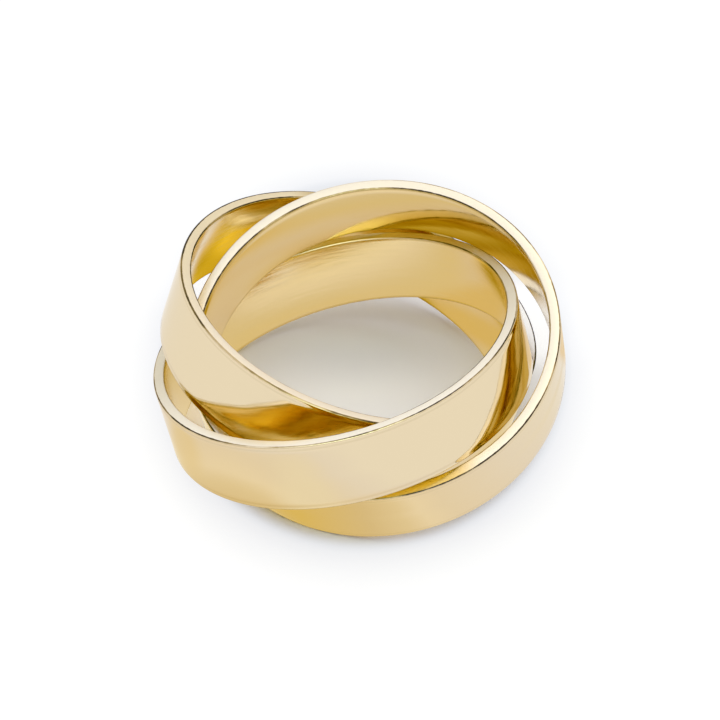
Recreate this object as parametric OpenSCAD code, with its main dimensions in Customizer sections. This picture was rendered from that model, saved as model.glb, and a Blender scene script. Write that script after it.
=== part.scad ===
// Triple band ring: three flat bands of one diameter, each linked through the other two.
// It lies on a flat surface with the bands fanned out, and the finger goes in along Z.
// Every band leans over a little, to its own side, and rests on the lowest point of its edge.
// Millimetres, +Z up, +Y to the back. The origin is under the middle of the ring's outer box.

/* [Bands] */
// Outer diameter of each band
band_d = 21; // [20.8:0.1:24]
// Thickness of the metal
band_wall = 0.64; // [0.5:0.02:0.64]
// Radius of the rounded edges
edge_r = 0.08; // [0.06:0.01:0.2]

/* [Left band] */
// Width of the left band, along its own axis
left_w = 4.65; // [4.3:0.05:4.7]
// How far the left band leans over
left_tilt = 15.6; // [15.4:0.1:16]
// Direction of its low side, counter-clockwise from +X
left_low = 14; // [12:0.5:16]
// Shift of its middle to the right, for bands of the drawn diameter
left_x = -0.68; // [-0.72:0.01:-0.64]
// Shift of its middle to the back, for bands of the drawn diameter
left_y = 1.32; // [1.28:0.01:1.36]

/* [Front band] */
// Width of the front band, along its own axis
front_w = 4.25; // [3.9:0.05:4.25]
// How far the front band leans over
front_tilt = 16.6; // [16.4:0.1:17]
// Direction of its low side, counter-clockwise from +X
front_low = 153; // [151:0.5:154]
// Shift of its middle to the right, for bands of the drawn diameter
front_x = -0.96; // [-1:0.01:-0.92]
// Shift of its middle to the back, for bands of the drawn diameter
front_y = -1.27; // [-1.31:0.01:-1.23]

/* [Back band] */
// Width of the back band, along its own axis
back_w = 4.25; // [3.9:0.05:4.25]
// How far the back band leans over
back_tilt = 19.4; // [19.2:0.1:19.8]
// Direction of its low side, counter-clockwise from +X
back_low = 245.5; // [244:0.5:247]
// Shift of its middle to the right, for bands of the drawn diameter
back_x = 0.96; // [0.92:0.01:1]
// Shift of its middle to the back, for bands of the drawn diameter
back_y = -0.75; // [-0.79:0.01:-0.71]

/* [Look] */
// Facets around each circle
$fn = 180; // [90:10:360]

/* [Hidden] */

gold = [0.86, 0.74, 0.47];
outer_r = band_d / 2;
// the bands' shifts are given for this diameter, and grow with it
drawn_d = 21;
shift_scale = band_d / drawn_d;

// How far a band reaches from its middle along a direction
// that makes an angle with the band's own axis whose cosine is given
function reach(width, cosine) =
    (width / 2 - edge_r) * abs(cosine) + (outer_r - edge_r) * sqrt(1 - cosine * cosine) + edge_r;

// Columns: width, tilt, direction of the low side, place of its middle in X and Y
BANDS = [
    [left_w, left_tilt, left_low, left_x * shift_scale, left_y * shift_scale],
    [front_w, front_tilt, front_low, front_x * shift_scale, front_y * shift_scale],
    [back_w, back_tilt, back_low, back_x * shift_scale, back_y * shift_scale],
];

// How far each leaning band reaches along X, and along Y
reach_x = [for (b = BANDS) reach(b[0], sin(b[1]) * cos(b[2]))];
reach_y = [for (b = BANDS) reach(b[0], sin(b[1]) * sin(b[2]))];

// The middle between the furthest ends of all bands, whose middles stand in one column of the table
function box_middle(column, reaches) =
    (max([for (i = [0:2]) BANDS[i][column] + reaches[i]])
    + min([for (i = [0:2]) BANDS[i][column] - reaches[i]])) / 2;
box_mid = [box_middle(3, reach_x), box_middle(4, reach_y)];

// Cross-section of the metal, at its place beside the band's axis
module band_section(width) {
    wall_in = outer_r - band_wall;
    translate([wall_in, -width / 2 + edge_r]) square([band_wall, width - 2 * edge_r]);
    translate([wall_in + edge_r, -width / 2]) square([band_wall - 2 * edge_r, width]);
    for (x = [wall_in + edge_r, outer_r - edge_r], y = [-width / 2 + edge_r, width / 2 - edge_r])
        translate([x, y]) circle(edge_r, $fn = 24);
}

// One band, upright about Z and centred on the origin
module band(width) {
    rotate_extrude() band_section(width);
}

// A band leaned over towards its low side, just touching the surface
module lying_band(row) {
    width = row[0];
    tilt = row[1];
    low = row[2];
    translate([row[3] - box_mid[0], row[4] - box_mid[1], reach(width, cos(tilt))])
        rotate([0, tilt, low]) band(width);
}

module left_band() {
    color(gold) lying_band(BANDS[0]);
}

module front_band() {
    color(gold) lying_band(BANDS[1]);
}

module back_band() {
    color(gold) lying_band(BANDS[2]);
}

left_band();
front_band();
back_band();
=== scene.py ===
# %% [markdown]
# # Triple band ring
# Three flat bands of polished gold are linked through one another and lie fanned out on a white sheet.
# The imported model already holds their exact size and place, so it is loaded first and kept as the frame.

# %% Load the frame
import math
from types import SimpleNamespace

import bmesh
import bpy
from mathutils import Matrix, Vector


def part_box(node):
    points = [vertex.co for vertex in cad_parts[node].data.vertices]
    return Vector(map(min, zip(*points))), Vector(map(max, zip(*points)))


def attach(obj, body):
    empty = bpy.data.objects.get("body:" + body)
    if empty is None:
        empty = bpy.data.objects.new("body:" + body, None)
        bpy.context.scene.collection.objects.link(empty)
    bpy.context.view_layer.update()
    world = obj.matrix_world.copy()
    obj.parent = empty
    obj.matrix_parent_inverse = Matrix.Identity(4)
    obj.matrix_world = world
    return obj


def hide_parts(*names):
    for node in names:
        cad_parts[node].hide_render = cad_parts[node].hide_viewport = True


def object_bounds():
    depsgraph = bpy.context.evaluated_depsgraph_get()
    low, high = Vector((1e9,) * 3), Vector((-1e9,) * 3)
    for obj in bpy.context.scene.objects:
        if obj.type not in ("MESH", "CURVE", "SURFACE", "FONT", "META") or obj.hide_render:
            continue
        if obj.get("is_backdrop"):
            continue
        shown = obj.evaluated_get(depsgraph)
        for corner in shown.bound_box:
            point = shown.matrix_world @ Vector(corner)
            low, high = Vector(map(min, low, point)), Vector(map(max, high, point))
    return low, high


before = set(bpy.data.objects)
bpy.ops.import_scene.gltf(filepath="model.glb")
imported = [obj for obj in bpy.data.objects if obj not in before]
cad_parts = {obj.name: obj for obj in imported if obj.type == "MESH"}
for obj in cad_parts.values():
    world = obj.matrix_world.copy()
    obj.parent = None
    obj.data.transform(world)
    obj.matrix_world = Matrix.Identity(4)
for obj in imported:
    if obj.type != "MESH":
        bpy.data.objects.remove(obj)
cad_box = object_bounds()

scene = bpy.context.scene
MM = 0.001


def in_mm(box):
    return [[round(c / MM, 3) for c in corner] for corner in box]


print("CAD box in mm:", in_mm(cad_box))

# %% [markdown]
# ## The camera
# A jewellery photograph is taken with a long lens from about 40 degrees above the table, so the near side
# of the ring looks hardly larger than the far side. A camera without any perspective could copy that, but
# the rims show a little of it. The lens, the place and the turns below were worked out from those rims.

# %% Camera
LENS = 152.396
FILM_WIDTH = 36
CAMERA_AT = (0.156, -130.485, 118.371)
CAMERA_TURNS = (48.844, -1.208, 1.129)

camera_data = bpy.data.cameras.new("camera")
camera_data.lens = LENS
camera_data.sensor_width = FILM_WIDTH
camera_data.clip_start = 0.01
camera_data.clip_end = 20
camera = bpy.data.objects.new("camera", camera_data)
camera.location = Vector(CAMERA_AT) * MM
camera.rotation_euler = [math.radians(turn) for turn in CAMERA_TURNS]
scene.collection.objects.link(camera)
scene.camera = camera
print("camera", round(camera.location.length / MM), "mm away,",
      round(90 - CAMERA_TURNS[0]), "degrees above the sheet")

# %% [markdown]
# ## Small helpers for nodes
# A procedural finish is a chain of small sums. Wiring each one by hand hides what they do,
# so a few helpers make a sum, a soft step, a mix and a ramp, and the finishes below read like a recipe.

# %% Node helpers
def plug(tree, value, socket):
    """Links another node's output to the socket, or sets the socket where the value is a plain one."""
    if isinstance(value, bpy.types.NodeSocket):
        tree.links.new(value, socket)
    else:
        socket.default_value = value


def calc(tree, operation, *values):
    node = tree.nodes.new("ShaderNodeMath")
    node.operation = operation
    for socket, value in zip(node.inputs, values):
        plug(tree, value, socket)
    return node.outputs[0]


def times(tree, first, second):
    return calc(tree, "MULTIPLY", first, second)


def soft_step(tree, value, start, end, low=0.0, high=1.0):
    """Goes from low to high, without corners, while the value goes from start to end."""
    node = tree.nodes.new("ShaderNodeMapRange")
    node.interpolation_type = "SMOOTHSTEP"
    settings = {"Value": value, "From Min": start, "From Max": end, "To Min": low, "To Max": high}
    for name, setting in settings.items():
        plug(tree, setting, node.inputs[name])
    return node.outputs["Result"]

# %% [markdown]
# ## Helpers for colours
# The mix node keeps a set of sockets for each kind of value under the same names, so its sockets are told
# apart by their number. A ramp only takes values from 0 to 1, so the helper scales a longer range to that.

# %% Colour helpers
FIRST_SOCKET = {"FLOAT": 2, "RGBA": 6}
RESULT_SOCKET = {"FLOAT": 0, "RGBA": 2}


def mixed(tree, factor, first, second, kind="RGBA", blend="MIX"):
    node = tree.nodes.new("ShaderNodeMix")
    node.data_type = kind
    node.blend_type = blend
    at = FIRST_SOCKET[kind]
    plug(tree, factor, node.inputs[0])
    plug(tree, first, node.inputs[at])
    plug(tree, second, node.inputs[at + 1])
    return node.outputs[RESULT_SOCKET[kind]]


def ramp_of(tree, value, start, end, stops):
    """Colours laid out along a value that runs from start to end. A plain number is a grey."""
    node = tree.nodes.new("ShaderNodeValToRGB")
    part = calc(tree, "DIVIDE", calc(tree, "SUBTRACT", value, start), end - start)
    plug(tree, part, node.inputs["Fac"])
    elements = node.color_ramp.elements
    while len(elements) < len(stops):
        elements.new(0.5)
    for element, (at, colour) in zip(elements, stops):
        element.position = (at - start) / (end - start)
        element.color = (*colour, 1) if isinstance(colour, tuple) else (colour, colour, colour, 1)
    return node.outputs["Color"]


def glow(tree, colour, strength=1.0):
    node = tree.nodes.new("ShaderNodeEmission")
    plug(tree, colour, node.inputs["Color"])
    plug(tree, strength, node.inputs["Strength"])
    return node.outputs[0]

# %% [markdown]
# ## The sheet under the ring
# The ring lies on a white sheet. One large square plane is enough: its edge is far outside the picture.
# It is marked as stage, so it never counts as part of the ring.

# %% Sheet
SHEET_HALF = 3


def piece_from(bm, name):
    """Turns a finished bmesh into an object of that name."""
    mesh = bpy.data.meshes.new(name)
    bm.to_mesh(mesh)
    bm.free()
    piece = bpy.data.objects.new(name, mesh)
    scene.collection.objects.link(piece)
    return piece


def material_on(piece, name):
    material = bpy.data.materials.new(name)
    material.use_nodes = True
    piece.data.materials.append(material)
    return material


bm = bmesh.new()
bmesh.ops.create_grid(bm, x_segments=1, y_segments=1, size=SHEET_HALF)
floor = piece_from(bm, "white_sheet")
floor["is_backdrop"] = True
print("sheet", 2 * SHEET_HALF, "m wide")

# %% [markdown]
# ## Places on the sheet
# Everything on the sheet is laid out by distance from some place on it. A mapping node that stretches the
# object's own coordinates turns the rings of equal distance into ovals. A soft patch needs a place,
# the distance up to which it is whole, the distance at which it is gone, and a strength.

# %% Places on the sheet
def own_place(tree):
    return tree.nodes.new("ShaderNodeTexCoord").outputs["Object"]


def mm_from(tree, x, y, deeper=1.0, wider=1.0):
    """Distance on the sheet from a place in millimetres; deeper and wider make it an oval."""
    node = tree.nodes.new("ShaderNodeMapping")
    node.vector_type = "TEXTURE"
    node.inputs["Location"].default_value = (x * MM, y * MM, 0)
    node.inputs["Scale"].default_value = (MM * wider, MM * deeper, MM)
    plug(tree, own_place(tree), node.inputs["Vector"])
    length = tree.nodes.new("ShaderNodeVectorMath")
    length.operation = "LENGTH"
    plug(tree, node.outputs[0], length.inputs[0])
    return length.outputs["Value"]


def patch(tree, x, y, whole, gone, strength):
    return soft_step(tree, mm_from(tree, x, y), whole, gone, low=strength, high=0)

# %% [markdown]
# ## The sheet as the camera sees it
# Inside the ring the camera sees plain paper with the ring's own shade on it. The light of a simple sky
# leaves the middle a little too pale, so the paper there is darkened by a soft oval of painted shade.
# The polished bands throw some light on the sheet, painted as soft patches of glow between and beside them.
# Around the ring the print burns out to white, with a faint cool painted shadow left close by.

# %% Sheet for the camera
PAPER = (0.92, 0.93, 0.95, 1)
# Paper darkened by painted shade, used in a soft oval inside the ring.
SHADED_PAPER = (0.75, 0.76, 0.835, 1)
# Painted shadow close round the ring, a glow that fades out to white further away.
PAINTED_SHADOW_TO_WHITE = (
    (11, (0.72, 0.75, 0.79)), (11.9, (0.85, 0.87, 0.905)), (12.3, (0.94, 0.95, 0.975)),
    (12.9, (0.99, 0.995, 1.01)), (13.5, (1.025, 1.03, 1.035)), (14.2, (1.06, 1.06, 1.06)),
    (16, (1.12, 1.12, 1.12)),
)
# Painted light: glowing patches for the light the bands throw on the sheet.
THROWN_LIGHT = (
    ((-9.5, -0.2, 0.4, 2.2, 0.32), (1.0, 0.76, 0.42, 1)),
    ((10.5, 9.0, 2.4, 5.2, 0.17), (1, 1, 1, 1)),
    ((-10.2, 11.5, 1.0, 4.0, 0.15), (1, 1, 1, 1)),
)


def paper_for_camera(tree):
    paper = tree.nodes["Principled BSDF"]
    paper.inputs["Roughness"].default_value = 0.7
    paper.inputs["Specular IOR Level"].default_value = 0.1
    # A soft oval of painted shade inside the ring.
    in_ring = mm_from(tree, -0.8, 5.9, deeper=0.6, wider=1.35)
    shaded = soft_step(tree, in_ring, start=0.5, end=7.3, low=0.95, high=0)
    plug(tree, mixed(tree, shaded, PAPER, SHADED_PAPER), paper.inputs["Base Color"])
    lit = paper.outputs[0]
    # Adds the painted light patches as glow.
    for place, colour in THROWN_LIGHT:
        node = tree.nodes.new("ShaderNodeAddShader")
        plug(tree, lit, node.inputs[0])
        plug(tree, glow(tree, colour, patch(tree, *place)), node.inputs[1])
        lit = node.outputs[0]
    around = mm_from(tree, 0.25, 5.7, deeper=1.38)
    painted_shadow_to_white = glow(tree, ramp_of(tree, around, PAINTED_SHADOW_TO_WHITE[0][0], PAINTED_SHADOW_TO_WHITE[-1][0], PAINTED_SHADOW_TO_WHITE))
    seen = tree.nodes.new("ShaderNodeMixShader")
    plug(tree, soft_step(tree, around, start=11, end=12.1, high=0.85), seen.inputs[0])
    plug(tree, lit, seen.inputs[1])
    plug(tree, painted_shadow_to_white, seen.inputs[2])
    return seen.outputs[0]

# %% [markdown]
# ## What the gold sees of the sheet
# Polished gold shows little of its own: nearly all its colour is what it mirrors, times its own tint.
# Under and just behind the bands the sheet is lit mostly by light that has already bounced off gold, so it
# looks deep amber there and turns white further out. Millions of bounced light paths would give that slowly
# and with much noise. Ramps and patches of painted light and shade, which only mirrored rays see, give such
# colours at once.

# %% Colours of the mirrored sheet
RAMP_REACH = 14
# Painted light and shade of the sheet under the ring, seen only in the gold.
UNDER_RING = (
    (-14, (0.95, 0.87, 0.72)), (-9.5, (0.86, 0.7, 0.35)), (-6, (0.93, 0.82, 0.55)),
    (-1.2, (0.96, 0.87, 0.64)), (1.5, (0.87, 0.77, 0.57)), (4.1, (0.8, 0.68, 0.43)),
    (5.2, (0.81, 0.67, 0.38)), (6.2, (0.81, 0.68, 0.46)), (6.8, (0.8, 0.68, 0.5)),
    (7.9, (0.8, 0.63, 0.37)), (8.4, (0.56, 0.38, 0.09)), (9.2, (0.38, 0.21, 0.02)),
    (10, (0.62, 0.42, 0.07)), (10.6, (0.78, 0.56, 0.14)), (11.5, (0.9, 0.84, 0.8)),
    (12.5, (1.0, 1.0, 1.0)),
)
UNDER_LEFT_BACK = (
    (6.8, (0.81, 0.68, 0.5)), (7.5, (0.82, 0.7, 0.5)), (8.3, (0.8, 0.6, 0.25)),
    (9.0, (0.98, 0.66, 0.12)), (9.6, (1.05, 0.75, 0.14)), (10.2, (0.8, 0.54, 0.09)),
    (11.2, (0.9, 0.68, 0.3)), (11.7, (0.92, 0.86, 0.84)), (12.5, (1.0, 1.0, 1.0)),
)
AROUND_RING = (
    (0.8, (0.87, 0.68, 0.28)), (4.9, (0.84, 0.71, 0.47)), (7, (0.92, 0.82, 0.6)),
    (8.3, (1.0, 0.93, 0.78)), (10, (0.95, 0.89, 0.79)), (16, (0.96, 0.95, 0.97)),
    (20.5, (1.0, 1.0, 1.0)),
)
# Patches of painted shade and painted light in the mirrored sheet.
PATCHES_UNDER = (
    ((3.6, 6.4, 1.3, 3.0, 0.95), (0.8, 0.6, 0.27, 1)),
    ((-6.2, 9.0, 1.0, 3.0, 0.5), (0.5, 0.32, 0.04, 1)),
)
PATCHES_AROUND = (
    ((-5.0, -18.5, 1.5, 6.0, 0.7), (1.0, 0.97, 0.84, 1)),
    ((-12.3, -5.0, 1.0, 3.5, 0.5), (0.95, 0.8, 0.45, 1)),
    ((13.6, 7.6, 1.4, 3.2, 0.75), (0.9, 0.7, 0.4, 1)),
)
print("mirrored sheet:", len(UNDER_RING) + len(UNDER_LEFT_BACK) + len(AROUND_RING), "stops on three ramps,",
      len(PATCHES_UNDER) + len(PATCHES_AROUND), "patches")

# %% [markdown]
# ## Laying those colours out
# Under the ring the colours change from front to back, and the left of the far side has a ramp of its own.
# Outside the ring they change with the distance from a place under its front left. Both meet under the
# bands, where the change hardly shows. The light path node tells the camera's own rays from all others.

# %% Mirrored sheet
def with_patches(tree, colour, patches):
    for place, tint in patches:
        colour = mixed(tree, patch(tree, *place), colour, tint)
    return colour


def sheet_for_mirrors(tree):
    spot = tree.nodes.new("ShaderNodeSeparateXYZ")
    plug(tree, own_place(tree), spot.inputs[0])
    right, back = (times(tree, spot.outputs[axis], 1 / MM) for axis in "XY")
    under = ramp_of(tree, back, -RAMP_REACH, RAMP_REACH, UNDER_RING)
    left_back = ramp_of(tree, back, -RAMP_REACH, RAMP_REACH, UNDER_LEFT_BACK)
    on_left = soft_step(tree, right, start=-0.5, end=-1.2)
    far_back = soft_step(tree, back, start=6.8, end=7.6)
    under = mixed(tree, times(tree, on_left, far_back), under, left_back)
    under = with_patches(tree, under, PATCHES_UNDER)
    around = ramp_of(tree, mm_from(tree, -3.5, -8.5), start=0, end=22, stops=AROUND_RING)
    past_bands = soft_step(tree, mm_from(tree, 0, 2), start=10.6, end=12)
    return glow(tree, with_patches(tree, mixed(tree, past_bands, under, around), PATCHES_AROUND))


tree = material_on(floor, "white_sheet").node_tree
either = tree.nodes.new("ShaderNodeMixShader")
plug(tree, tree.nodes.new("ShaderNodeLightPath").outputs["Is Camera Ray"], either.inputs[0])
plug(tree, sheet_for_mirrors(tree), either.inputs[1])
plug(tree, paper_for_camera(tree), either.inputs[2])
plug(tree, either.outputs[0], tree.nodes["Material Output"].inputs["Surface"])
print("sheet material with", len(tree.nodes), "nodes")

# %% [markdown]
# ## Light on the sheet
# The light comes from above and behind, and the camera's side of the room is darker. A sky that fades from
# back to front gives the ring its shade without the hard shadows of a lamp, and one broad disk overhead
# evens it out. Neither is mirrored in the gold.

# %% Light
def room(tree, way, behind, in_front, start, end):
    """Brightness by height, with one ramp behind the ring and one in front, blended between two depths."""
    far, near = (ramp_of(tree, way.outputs["Z"], 0, 1, stops) for stops in (behind, in_front))
    return mixed(tree, soft_step(tree, way.outputs["Y"], start, end), near, far)


world = bpy.data.worlds.new("studio")
scene.world = world
world.use_nodes = True
world.cycles_visibility.glossy = False
tree = world.node_tree
way = tree.nodes.new("ShaderNodeSeparateXYZ")
plug(tree, tree.nodes.new("ShaderNodeTexCoord").outputs["Generated"], way.inputs[0])
sky = room(tree, way, start=-0.25, end=0.2,
           behind=((0.0, 0.75), (0.2, 0.85), (0.36, 0.92), (0.6, 1.0), (1.0, 1.1)),
           in_front=((0.0, 0.6), (0.2, 0.3), (0.4, 0.1), (0.75, 0.15), (1.0, 1.1)))
plug(tree, sky, tree.nodes["Background"].inputs["Color"])

DISK_WIDTH = 1.2
DISK_WATTS = 1.8
DISK_AT = (0, 0.1, 0.8)
disk_data = bpy.data.lights.new("overhead_sheet", "AREA")
disk_data.shape = "DISK"
disk_data.size = DISK_WIDTH
disk_data.energy = DISK_WATTS
disk = bpy.data.objects.new("overhead_sheet", disk_data)
disk.location = DISK_AT
disk.visible_glossy = False
scene.collection.objects.link(disk)
print("overhead disk", DISK_WIDTH, "m wide,", DISK_AT[2], "m up")

# %% [markdown]
# ## The white tent
# Polished jewellery is photographed inside a tent of white cloth, so that its mirror faces show nothing but
# white. A large ball around the scene stands in for the tent. Only mirrored rays meet it, so it hardly
# changes the sheet or the shade on it, and its brightness can be set by the direction it lies in.

# %% Tent
TENT_RADIUS = 2.5

bm = bmesh.new()
bmesh.ops.create_uvsphere(bm, u_segments=64, v_segments=32, radius=TENT_RADIUS)
tent = piece_from(bm, "white_tent")
tent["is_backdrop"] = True
for ray in ("camera", "diffuse", "shadow", "transmission", "volume_scatter"):
    setattr(tent, "visible_" + ray, False)
print("tent", 2 * TENT_RADIUS, "m across")

# %% [markdown]
# ## Lamps behind the cloth
# Two lamps behind the cloth make soft bright patches on it: one nearly overhead, a little behind and to the
# right, and one on the camera's side. They bring light into the gaps between the bands. Area lights would
# show in the gold with hard edges, so each lamp is a soft patch in the cloth's own glow.
# A row holds its direction, how widely it spreads, and its colour.

# %% Cloth
LAMPS = (
    ((0.27, 0.26, 0.93), 0.45, (1.0, 0.9, 0.5, 1)),
    ((-0.05, -0.74, 0.64), 0.55, (1.15, 1.75, 1.15, 1)),
)
BLACK = (0, 0, 0, 1)

tent_material = material_on(tent, "white_tent")
tent_material.cycles.emission_sampling = "NONE"
tree = tent_material.node_tree
toward = tree.nodes.new("ShaderNodeVectorMath")
toward.operation = "NORMALIZE"
plug(tree, own_place(tree), toward.inputs[0])
way = tree.nodes.new("ShaderNodeSeparateXYZ")
plug(tree, toward.outputs[0], way.inputs[0])
cloth = room(tree, way, start=-0.4, end=0.2,
             behind=((0.0, 0.85), (0.3, 0.9), (0.5, 0.95), (0.8, 1.0), (1.0, 1.06)),
             in_front=((0.0, 0.35), (0.12, 0.4), (0.22, 1.1), (0.4, 1.3), (0.7, 1.4),
                       (0.85, 1.3), (1.0, 1.06)))
for aim, width, colour in LAMPS:
    node = tree.nodes.new("ShaderNodeVectorMath")
    node.operation = "DISTANCE"
    plug(tree, toward.outputs[0], node.inputs[0])
    node.inputs[1].default_value = Vector(aim).normalized()
    spread = soft_step(tree, node.outputs["Value"], width / 2, width, low=1, high=0)
    cloth = mixed(tree, 1.0, cloth, mixed(tree, spread, BLACK, colour), blend="ADD")
plug(tree, glow(tree, cloth), tree.nodes["Material Output"].inputs["Surface"])
print(len(LAMPS), "lamps behind the cloth")

# %% [markdown]
# ## The print
# The deep gold in the photograph has no blue left at all. The plain view with a short toe in the blue curve
# gives the same saturated amber in the shadows and leaves the light tones alone.
# Between two polished walls light bounces many times before it gets out. Every bounce deepens the gold,
# so the light paths are allowed to be long: cut short, the narrow gaps would turn black.

# %% Tone
BOUNCES = 20
BLUE_TOE = ((0.02, 0.002), (0.045, 0.012), (0.095, 0.058), (0.15, 0.13), (0.2, 0.185), (0.3, 0.3))

scene.cycles.max_bounces = BOUNCES
scene.cycles.glossy_bounces = BOUNCES
view = scene.view_settings
view.view_transform = "Standard"
view.use_curve_mapping = True
blue = view.curve_mapping.curves[2]
for dark, deep in BLUE_TOE:
    blue.points.new(dark, deep)
view.curve_mapping.update()
print("blue curve with", len(blue.points), "points")

# %% [markdown]
# ## The bands in numbers
# All three bands have one diameter and one thickness, with edges only just rounded. The left one is
# a little wider. Each row holds the width, how far the band leans over, and the direction of its low side.

# %% Band sizes
band_d = 21 * MM
band_wall = 0.64 * MM
edge_r = 0.08 * MM
BANDS = {
    "left_band": (4.65 * MM, 15.6, 14.0),
    "front_band": (4.25 * MM, 16.6, 153.0),
    "back_band": (4.25 * MM, 19.4, 245.5),
}
edge_arc = edge_r * math.pi / 2
rim_across = band_wall - 2 * edge_r + edge_arc
print("rim from edge to edge", round(rim_across / MM, 2), "mm")

# %% [markdown]
# ## The section of a band
# A flat band is a ribbon of metal bent to a circle and joined. Its section is a tall thin rectangle with
# rounded corners. A bevelled cylinder would do as well, but a section that is spun gives every ring of
# vertices a known place across the metal, and the finish below is laid out on exactly that.
# The section starts in the middle of the inner wall and runs down, out, up and in again.

# %% Section
MICRON = 1e-6


def spot_on_section(out, up):
    return round(out / MICRON), round(up / MICRON)


def draw_section(bm, width):
    """Draws the section, and returns how far along it each of its vertices lies, from 0 to 1."""
    inner, outer, half = band_d / 2 - band_wall, band_d / 2, width / 2
    start = bm.verts.new((inner, 0, 0))
    corners = [bm.verts.new((out, 0, up)) for out, up in
               ((inner, -half), (outer, -half), (outer, half), (inner, half))]
    bm.faces.new([start] + corners)
    bmesh.ops.bevel(bm, geom=corners, offset=edge_r, offset_type="OFFSET", segments=5, profile=0.5,
                    affect="VERTICES", material=-1)
    line = [loop.vert.co.copy() for loop in bm.faces[:][0].loops]
    at = min(range(len(line)), key=lambda i: abs(line[i].z) + abs(line[i].x - inner))
    line = line[at:] + line[:at]
    if line[1].z > 0:
        line = line[:1] + line[:0:-1]
    bmesh.ops.delete(bm, geom=bm.faces[:], context="FACES_ONLY")
    passed, length = [0.0], 0.0
    for here, there in zip(line, line[1:] + line[:1]):
        length += (there - here).length
        passed.append(length)
    return {spot_on_section(p.x, p.z): distance / length for p, distance in zip(line, passed)}

# %% [markdown]
# ## Unrolling the band
# The finish needs to know how far round the band and how far along the section each place lies. Both go
# into a UV map, while the band still stands upright about its own axis. A face that reaches over the seam
# would run backwards through the whole map, so its corners past the seam count on beyond 1.

# %% Unrolled
UNROLLED = "round_and_across"


def past_seam(spots, axis):
    values = [spot[axis] for spot in spots]
    if max(values) - min(values) <= 0.5:
        return values
    return [value + 1 if value < 0.5 else value for value in values]


def unroll(bm, along):
    uv = bm.loops.layers.uv.new(UNROLLED)
    for face in bm.faces:
        spots = []
        for loop in face.loops:
            x, y, z = loop.vert.co
            spots.append((math.atan2(y, x) / math.tau % 1, along[spot_on_section(math.hypot(x, y), z)]))
        for loop, turn, across in zip(face.loops, past_seam(spots, 0), past_seam(spots, 1)):
            loop[uv].uv = (turn, across)

# %% [markdown]
# ## Spinning and laying down
# The section is spun full circle and the last ring of vertices is merged with the first. Then the band
# leans over towards its low side and moves to the middle of its own node's box, so it fills the same space.

# %% Band shape
SPIN_STEPS = 360


def band_piece(name):
    width, tilt, low = BANDS[name]
    bm = bmesh.new()
    along = draw_section(bm, width)
    bmesh.ops.spin(bm, geom=bm.verts[:] + bm.edges[:], cent=(0, 0, 0), axis=(0, 0, 1), angle=math.tau,
                   steps=SPIN_STEPS, use_merge=True, use_duplicate=False)
    bmesh.ops.recalc_face_normals(bm, faces=bm.faces[:])
    unroll(bm, along)
    for face in bm.faces:
        face.smooth = True
    low_corner, high_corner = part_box(name)
    facing = Matrix.Rotation(math.radians(low), 4, "Z")
    leaning = Matrix.Rotation(math.radians(tilt), 4, "Y")
    place = Matrix.Translation((low_corner + high_corner) / 2) @ facing @ leaning
    bmesh.ops.transform(bm, matrix=place, verts=bm.verts[:])
    piece = piece_from(bm, name + "_polished")
    modifier = piece.modifiers.new("even_walls", "WEIGHTED_NORMAL")
    modifier.weight = 100
    print(name, len(piece.data.polygons), "faces")
    return piece, place

# %% [markdown]
# ## Wear and painted light in numbers
# On the real ring the outside is a mirror, the rims are lapped to a pale satin, and the inside keeps the
# fine lines of the lathe. Along both edges of every rim runs a hair of painted dark reflection, with a rim
# as ragged as nicked metal. A painted picture could hold all this, but it would blur close up. Here each
# zone is a strip of the unrolled section, so it follows the metal exactly. The lines and the painted light
# on the rims aren't the same all round. Sides are given in degrees round from the band's low side: where a
# line is darkest and how dark, on which side the rim is painted lit, and where the rim gets painted shade
# and highlight in other tints, with the cosines between which that tint comes in.
# The bore is the inner wall, and the lip is its upper edge.

# %% Wear and painted light
# outer_line and inner_line below are painted dark reflections along the edges.
HAIR = 0.062
WEAR_AND_LIGHT = {
    "left_band": {
        "outer_line": {"least": 0.5, "sides": ((-140, 0.9), (95, 1.5), (-10, 1.1)), "half_width": 0.092},
        "inner_line": {"least": 0.55, "sides": ((110, 0.95),), "half_width": HAIR},
        "lip": {"reach": 0.2, "depth": -0.008},
        "bore": {"rough": 0.16, "cut": 0.0015, "gold": (0.85, 0.72, 0.48, 1)},
        "rim": {"shaded_side_tint": (0.82, 0.7, 0.48, 1), "lit_side_tint": (0.89, 0.78, 0.61, 1), "lit_side": -104},
        "painted_shade_and_highlight": ((66, (0.5, 0.33, 0.1, 1), (0.8, 0.97)), (-4, (1.0, 0.98, 0.95, 1), (0.8, 0.97))),
    },
    "front_band": {
        "outer_line": {"least": 0.24, "sides": ((27, 0.95), (-168, 0.95)), "half_width": HAIR},
        "inner_line": {"least": 0.22, "sides": ((180, 0.75), (-163, 1.0)), "half_width": HAIR},
        "lip": {"reach": 0.2, "depth": -0.008},
        "bore": {"rough": 0.18, "cut": 0.007, "gold": (0.87, 0.74, 0.51, 1)},
        "rim": {"shaded_side_tint": (0.77, 0.7, 0.54, 1), "lit_side_tint": (1.0, 0.93, 0.79, 1), "lit_side": 125},
        "painted_shade_and_highlight": ((-80, (0.72, 0.55, 0.28, 1), (0.8, 0.97)),),
    },
    "back_band": {
        "outer_line": {"least": 0.36, "sides": ((33, 1.25), (116, 0.6)), "half_width": HAIR},
        "inner_line": {"least": 0.5, "sides": ((-135, 1.05),), "half_width": HAIR},
        "lip": {"reach": 0.6, "depth": -0.05},
        "bore": {"rough": 0.12, "cut": 0.001, "gold": (0.845, 0.72, 0.51, 1)},
        "rim": {"shaded_side_tint": (0.86, 0.79, 0.66, 1), "lit_side_tint": (0.9, 0.82, 0.69, 1), "lit_side": 0},
        "painted_shade_and_highlight": ((33, (0.78, 0.55, 0.2, 1), (0.88, 0.97)),),
    },
}
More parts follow.
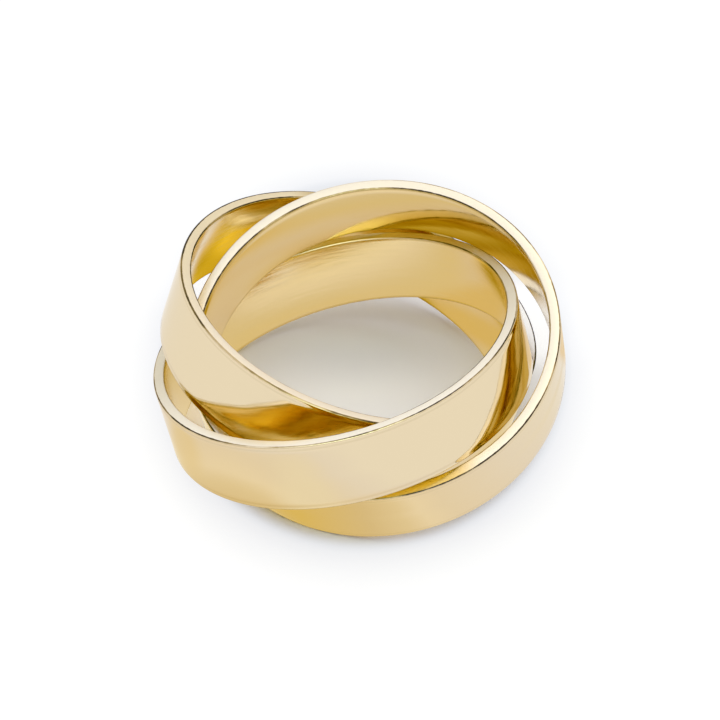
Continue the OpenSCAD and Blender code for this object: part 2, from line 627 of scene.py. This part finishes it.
for name, wear_and_light in WEAR_AND_LIGHT.items():
    print(name, "outer line up to", round(2 * wear_and_light["outer_line"]["half_width"], 2), "mm wide")

# %% [markdown]
# ## Zones of the metal
# Two distances in millimetres tell the zones apart: one to the outer edge of the rim, which is below zero
# from the rim inwards, and one past its inner edge, which is above zero on the inner wall. The upper and
# the lower half of the section are alike, so both are measured from the middle of the outer wall.

# %% Zones
EDGE_BLUR = 0.03


def zones_of(tree, name):
    uv = tree.nodes.new("ShaderNodeUVMap")
    uv.uv_map = UNROLLED
    unrolled = tree.nodes.new("ShaderNodeSeparateXYZ")
    plug(tree, uv.outputs[0], unrolled.inputs[0])
    zones = SimpleNamespace(turn=unrolled.outputs["X"], along=unrolled.outputs["Y"])

    width = BANDS[name][0]
    round_section = 2 * (width + band_wall - 4 * edge_r + 2 * edge_arc)
    outer_edge = width / 2 - edge_r + edge_arc / 2
    inner_edge = outer_edge + rim_across
    from_middle = calc(tree, "ABSOLUTE", calc(tree, "SUBTRACT", zones.along, 0.5))
    from_middle = times(tree, from_middle, round_section / MM)
    zones.to_outer = calc(tree, "SUBTRACT", outer_edge / MM, from_middle)
    zones.past_inner = calc(tree, "SUBTRACT", from_middle, inner_edge / MM)

    past_outer = soft_step(tree, zones.to_outer, EDGE_BLUR, -EDGE_BLUR)
    zones.inside = soft_step(tree, zones.past_inner, -EDGE_BLUR, EDGE_BLUR)
    zones.rim = calc(tree, "SUBTRACT", past_outer, zones.inside)
    return zones

# %% [markdown]
# ## Unevenness
# Worn metal is never even. A noise texture is counted here in millimetres of the band's own frame, so it
# stays on the metal when the band turns. Squeezed along the band's axis, it gives the long lines of the
# lathe and the flecks of the rims.

# %% Grain
def noise_in_band(tree, place, stretch=(1, 1, 1), scale=1.0, detail=2.0):
    """Noise in millimetres of the band's own upright frame, stretched along its three axes."""
    node = tree.nodes.new("ShaderNodeMapping")
    node.vector_type = "TEXTURE"
    node.inputs["Location"].default_value = place.to_translation()
    node.inputs["Rotation"].default_value = place.to_euler()
    node.inputs["Scale"].default_value = tuple(MM * s for s in stretch)
    plug(tree, own_place(tree), node.inputs["Vector"])
    noise = tree.nodes.new("ShaderNodeTexNoise")
    noise.inputs["Scale"].default_value = scale
    noise.inputs["Detail"].default_value = detail
    plug(tree, node.outputs[0], noise.inputs["Vector"])
    return noise.outputs["Fac"]


def grain_of(tree, place):
    return SimpleNamespace(
        fine=noise_in_band(tree, place, scale=3.0, detail=4.0),
        slow=noise_in_band(tree, place, scale=0.3, detail=1.0),
        flecks=noise_in_band(tree, place, (0.12, 0.12, 0.05)),
        turning=noise_in_band(tree, place, (2.2, 2.2, 0.2), detail=5.0),
        wandering=noise_in_band(tree, place, (1.2, 1.2, 0.6)))

# %% [markdown]
# ## Lines along the edges
# Along each edge runs a painted dark reflection: a line that is dark where the distance to the edge is near
# zero. Its strength grows towards some sides of the band, and a little noise on the distance makes its rim
# ragged, like metal that has been knocked.

# %% Edge lines
ONTO_RIM = 0.03
RAGGED = 0.06
WHOLE_WITHIN = 0.3
# Two faint painted darker lines on the outer wall just below the rim.
FAINT_LINES = (
    {"away": 0.035, "half_width": 0.06, "strength": 0.22},
    {"away": 0.24, "half_width": 0.11, "strength": 0.13},
)


def on_side(tree, turn, degrees, least=0.0, most=1.0, wide=(-0.1, 0.75)):
    """Grows from least to most towards one side; wide holds the cosines where that starts and ends."""
    angle = calc(tree, "SUBTRACT", times(tree, turn, math.tau), math.radians(degrees))
    return soft_step(tree, calc(tree, "COSINE", angle), *wide, least, most)


def hair_line(tree, distance, ragged, half_width, strength):
    """A thin line where the distance is zero, with a ragged rim."""
    off = calc(tree, "ADD", calc(tree, "ABSOLUTE", distance), ragged)
    line = soft_step(tree, off, half_width * WHOLE_WITHIN, half_width, low=1, high=0)
    return times(tree, line, strength)


def edge_line(tree, turn, distance, ragged, least, sides, half_width):
    strength = least
    for side, most in sides:
        strength = calc(tree, "MAXIMUM", strength, on_side(tree, turn, side, least, most))
    return hair_line(tree, calc(tree, "ADD", distance, ONTO_RIM), ragged, half_width, strength)


def faint_line(tree, zones, ragged, away, half_width, strength):
    return hair_line(tree, calc(tree, "SUBTRACT", zones.to_outer, away), ragged, half_width, strength)


def dark_lines(tree, zones, grain, wear_and_light):
    """The painted dark reflection along both edges, with a ragged rim, and two faint painted darker lines on
    the outer wall just below the rim.
    """
    ragged = times(tree, calc(tree, "SUBTRACT", grain.fine, 0.5), RAGGED)
    outer = edge_line(tree, zones.turn, zones.to_outer, ragged, **wear_and_light["outer_line"])
    inner = edge_line(tree, zones.turn, zones.past_inner, ragged, **wear_and_light["inner_line"])
    uneven = soft_step(tree, grain.slow, start=0.35, end=0.6, low=0.45)
    # Painted dark reflection along both edges, ragged like knocked metal.
    nicked_dark_reflection = times(tree, calc(tree, "MAXIMUM", outer, inner), uneven)
    faint = (faint_line(tree, zones, ragged, **line) for line in FAINT_LINES)
    return nicked_dark_reflection, calc(tree, "MAXIMUM", *faint)

# %% [markdown]
# ## Colour of the metal
# The colours are put on like coats, one mix node over another: the mirror's gold, the rim with its painted
# light and shade, the inner wall, the painted shade under its lip, and last the painted dark lines. Where a
# line is weak it is brown, and where it is strong it is nearly black.

# %% Colour
GOLD = (0.81, 0.68, 0.455, 1)
SHADE = (0.3, 0.2, 0.05, 1)
BROWN = (0.42, 0.29, 0.12, 1)
EDGE = (0.05, 0.04, 0.06, 1)
BROWN_FROM_TO = (0, 0.6)
EDGE_FROM_TO = (0.3, 0.85)


# Painted light on the rim: lighter towards its lit side, with patches of painted shade and highlight.
def rim_colour(tree, turn, shaded_side_tint, lit_side_tint, lit_side, painted_shade_and_highlight):
    colour = mixed(tree, on_side(tree, turn, lit_side), shaded_side_tint, lit_side_tint)
    for side, tint, wide in painted_shade_and_highlight:
        colour = mixed(tree, on_side(tree, turn, side, wide=wide), colour, tint)
    return colour


def metal_colour(tree, zones, grain, wear_and_light):
    nicked_dark_reflection, faint = dark_lines(tree, zones, grain, wear_and_light)
    # Painted shade under the lip of the inner wall.
    near_lip = soft_step(tree, zones.past_inner, start=0.04, end=0.2, low=0.4, high=0)
    under_lip = times(tree, near_lip, zones.inside)
    rim = rim_colour(tree, zones.turn, **wear_and_light["rim"], painted_shade_and_highlight=wear_and_light["painted_shade_and_highlight"])
    metal = mixed(tree, zones.rim, GOLD, rim)
    metal = mixed(tree, zones.inside, metal, wear_and_light["bore"]["gold"])
    metal = mixed(tree, under_lip, metal, SHADE)
    browned = soft_step(tree, calc(tree, "MAXIMUM", nicked_dark_reflection, faint), *BROWN_FROM_TO)
    metal = mixed(tree, browned, metal, BROWN)
    return mixed(tree, soft_step(tree, nicked_dark_reflection, *EDGE_FROM_TO), metal, EDGE)

# %% [markdown]
# ## Polish of the metal
# The mirror is almost smooth, the rims are satin and the inner wall lies between them. One roughness for
# all the metal would be simpler, but it would lose the pale rims. The satin reaches over the whole
# rounded edge, because a mirror bent so tightly would catch every lamp as a bright line.

# %% Roughness
GRAIN_RANGE = (0.3, 0.7)
SATIN_WHOLE = 0.04
SATIN_GONE = 0.09


def roughness_of(tree, zones, grain, bore_rough):
    mirror = soft_step(tree, grain.wandering, *GRAIN_RANGE, low=0.05, high=0.1)
    lapped = soft_step(tree, grain.flecks, *GRAIN_RANGE, low=0.3, high=0.42)
    turned = soft_step(tree, grain.turning, *GRAIN_RANGE, low=bore_rough - 0.05, high=bore_rough + 0.05)
    past_edge = soft_step(tree, zones.to_outer, SATIN_GONE, SATIN_WHOLE)
    past_lip = soft_step(tree, zones.past_inner, SATIN_WHOLE, SATIN_GONE)
    return mixed(tree, past_lip, mixed(tree, past_edge, mirror, lapped, "FLOAT"), turned, "FLOAT")

# %% [markdown]
# ## Eased edges and lathe lines
# Real walls are never quite flat up to the edge: the polishing wheel eases the last half millimetre of them
# by a few hundredths. That is far too little to change the shape, so it is done with the surface normal,
# like the lines of the lathe and the grain of the rim. Inside, only the upper edge is eased.

# %% Relief
OUTER_EASE = {"reach": 0.5, "depth": -0.03}
RIM_GRAIN = 0.0005


def eased(tree, distance, reach, depth):
    """Height of a wall that is rubbed down beside its rounded edge, less and less over its reach."""
    from_edge = calc(tree, "SUBTRACT", distance, edge_arc / 2 / MM)
    part = soft_step(tree, from_edge, 0, reach, low=1, high=0)
    return times(tree, times(tree, part, part), depth)


def relief_of(tree, zones, grain, wear_and_light):
    upper_half = soft_step(tree, zones.along, start=0.45, end=0.55)
    inner_ease = times(tree, eased(tree, zones.past_inner, **wear_and_light["lip"]), upper_half)
    off_walls = calc(tree, "ADD", eased(tree, zones.to_outer, **OUTER_EASE), inner_ease)
    lathe_lines = times(tree, times(tree, grain.turning, zones.inside), wear_and_light["bore"]["cut"])
    rim_grain = times(tree, times(tree, grain.flecks, zones.rim), RIM_GRAIN)
    return calc(tree, "ADD", calc(tree, "ADD", lathe_lines, rim_grain), off_walls)

# %% [markdown]
# ## Gold on the bands
# Each band gets the zones, the grain, and the wear and painted light of its own. The finished piece stands
# in for the packed node of the same name, which is hidden; it gets a material of its own and rides on its
# body, so it turns with it.

# %% Gold
TINT_AT_GLANCING = (0.93, 0.9, 0.84, 1)


def polish(piece, name, place):
    tree = material_on(piece, name + "_gold").node_tree
    shader = tree.nodes["Principled BSDF"]
    shader.inputs["Metallic"].default_value = 1
    shader.inputs["Specular Tint"].default_value = TINT_AT_GLANCING
    zones, grain, wear_and_light = zones_of(tree, name), grain_of(tree, place), WEAR_AND_LIGHT[name]
    plug(tree, metal_colour(tree, zones, grain, wear_and_light), shader.inputs["Base Color"])
    plug(tree, roughness_of(tree, zones, grain, wear_and_light["bore"]["rough"]), shader.inputs["Roughness"])
    bump = tree.nodes.new("ShaderNodeBump")
    bump.inputs["Distance"].default_value = MM
    plug(tree, relief_of(tree, zones, grain, wear_and_light), bump.inputs["Height"])
    plug(tree, bump.outputs[0], shader.inputs["Normal"])
    print(name, "gold with", len(tree.nodes), "nodes")


for name in BANDS:
    piece, place = band_piece(name)
    polish(piece, name, place)
    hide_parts(name)
    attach(piece, name)

# %% [markdown]
# ## The last measure
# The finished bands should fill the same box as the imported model, so both boxes are written down together.

# %% Sizes
visual_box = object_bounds()
for label, box in (("CAD", cad_box), ("visual", visual_box)):
    print(label, in_mm(box))
